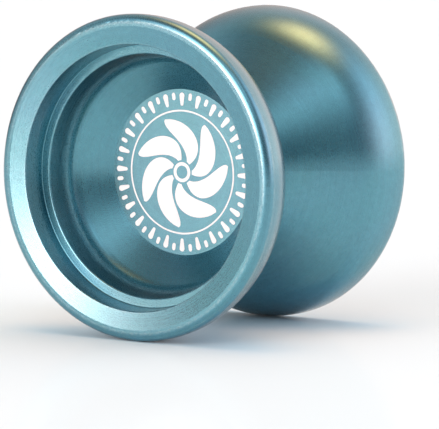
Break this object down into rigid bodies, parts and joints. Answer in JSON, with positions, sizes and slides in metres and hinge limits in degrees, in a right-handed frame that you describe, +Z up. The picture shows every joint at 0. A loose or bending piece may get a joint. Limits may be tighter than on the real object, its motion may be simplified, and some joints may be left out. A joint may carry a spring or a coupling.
{
  "type": "yo-yo",
  "caption": "Two-piece turned metal yo-yo with deep stepped cups, a ball bearing on a screw axle and silicone response pads.",
  "frame": {"origin": "middle of the axle, half way between the two halves", "axes": "+Y is the spin axis, from the front half to the back half; +Z is up when the yo-yo lies on both rims"},
  "size_m": [0.056, 0.0446, 0.056],
  "materials": {
    "anodised_aluminium": "fine satin, teal blue anodised",
    "response_silicone": "matte translucent white silicone",
    "axle_steel": "plain stainless",
    "race_steel": "ground",
    "ball_steel": "polished",
    "cage_steel": "pressed sheet",
    "shield_steel": "pressed sheet",
    "clip_steel": "spring wire"
  },
  "bodies": {
    "root": {"front_half": "anodised_aluminium", "back_half": "anodised_aluminium", "front_response_pad": "response_silicone", "back_response_pad": "response_silicone", "axle_screw": "axle_steel", "bearing_inner_race": "race_steel"},
    "outer_race": {"bearing_outer_race": "race_steel", "front_shield": "shield_steel", "back_shield": "shield_steel", "front_shield_clip": "clip_steel", "back_shield_clip": "clip_steel"},
    "cage": {"ball_cage": "cage_steel"},
    "ball_01": {"ball_01": "ball_steel"},
    "ball_02": {"ball_02": "ball_steel"},
    "ball_03": {"ball_03": "ball_steel"},
    "ball_04": {"ball_04": "ball_steel"},
    "ball_05": {"ball_05": "ball_steel"},
    "ball_06": {"ball_06": "ball_steel"},
    "ball_07": {"ball_07": "ball_steel"},
    "ball_08": {"ball_08": "ball_steel"},
    "ball_09": {"ball_09": "ball_steel"},
    "ball_10": {"ball_10": "ball_steel"}
  },
  "joints": [
    {"name": "outer_race_spin", "type": "hinge", "parent": "root", "child": "outer_race", "pos_m": [0, 0, 0], "axis": [0, 1, 0], "continuous": true},
    {"name": "cage_spin", "type": "hinge", "parent": "root", "child": "cage", "pos_m": [0, 0, 0], "axis": [0, 1, 0], "continuous": true},
    {"name": "ball_01_roll", "type": "hinge", "parent": "cage", "child": "ball_01", "pos_m": [0.00476, 0, 0], "axis": [0, 1, 0], "continuous": true},
    {"name": "ball_02_roll", "type": "hinge", "parent": "cage", "child": "ball_02", "pos_m": [0.00385, 0, 0.0028], "axis": [0, 1, 0], "continuous": true},
    {"name": "ball_03_roll", "type": "hinge", "parent": "cage", "child": "ball_03", "pos_m": [0.00147, 0, 0.00453], "axis": [0, 1, 0], "continuous": true},
    {"name": "ball_04_roll", "type": "hinge", "parent": "cage", "child": "ball_04", "pos_m": [-0.00147, 0, 0.00453], "axis": [0, 1, 0], "continuous": true},
    {"name": "ball_05_roll", "type": "hinge", "parent": "cage", "child": "ball_05", "pos_m": [-0.00385, 0, 0.0028], "axis": [0, 1, 0], "continuous": true},
    {"name": "ball_06_roll", "type": "hinge", "parent": "cage", "child": "ball_06", "pos_m": [-0.00476, 0, 0], "axis": [0, 1, 0], "continuous": true},
    {"name": "ball_07_roll", "type": "hinge", "parent": "cage", "child": "ball_07", "pos_m": [-0.00385, 0, -0.0028], "axis": [0, 1, 0], "continuous": true},
    {"name": "ball_08_roll", "type": "hinge", "parent": "cage", "child": "ball_08", "pos_m": [-0.00147, 0, -0.00453], "axis": [0, 1, 0], "continuous": true},
    {"name": "ball_09_roll", "type": "hinge", "parent": "cage", "child": "ball_09", "pos_m": [0.00147, 0, -0.00453], "axis": [0, 1, 0], "continuous": true},
    {"name": "ball_10_roll", "type": "hinge", "parent": "cage", "child": "ball_10", "pos_m": [0.00385, 0, -0.0028], "axis": [0, 1, 0], "continuous": true}
  ],
  "couplings": [
    {"joint": "cage_spin", "follows": "outer_race_spin", "ratio": 0.58333},
    {"joint": "ball_01_roll", "follows": "outer_race_spin", "ratio": 2.9167},
    {"joint": "ball_02_roll", "follows": "outer_race_spin", "ratio": 2.9167},
    {"joint": "ball_03_roll", "follows": "outer_race_spin", "ratio": 2.9167},
    {"joint": "ball_04_roll", "follows": "outer_race_spin", "ratio": 2.9167},
    {"joint": "ball_05_roll", "follows": "outer_race_spin", "ratio": 2.9167},
    {"joint": "ball_06_roll", "follows": "outer_race_spin", "ratio": 2.9167},
    {"joint": "ball_07_roll", "follows": "outer_race_spin", "ratio": 2.9167},
    {"joint": "ball_08_roll", "follows": "outer_race_spin", "ratio": 2.9167},
    {"joint": "ball_09_roll", "follows": "outer_race_spin", "ratio": 2.9167},
    {"joint": "ball_10_roll", "follows": "outer_race_spin", "ratio": 2.9167}
  ]
}
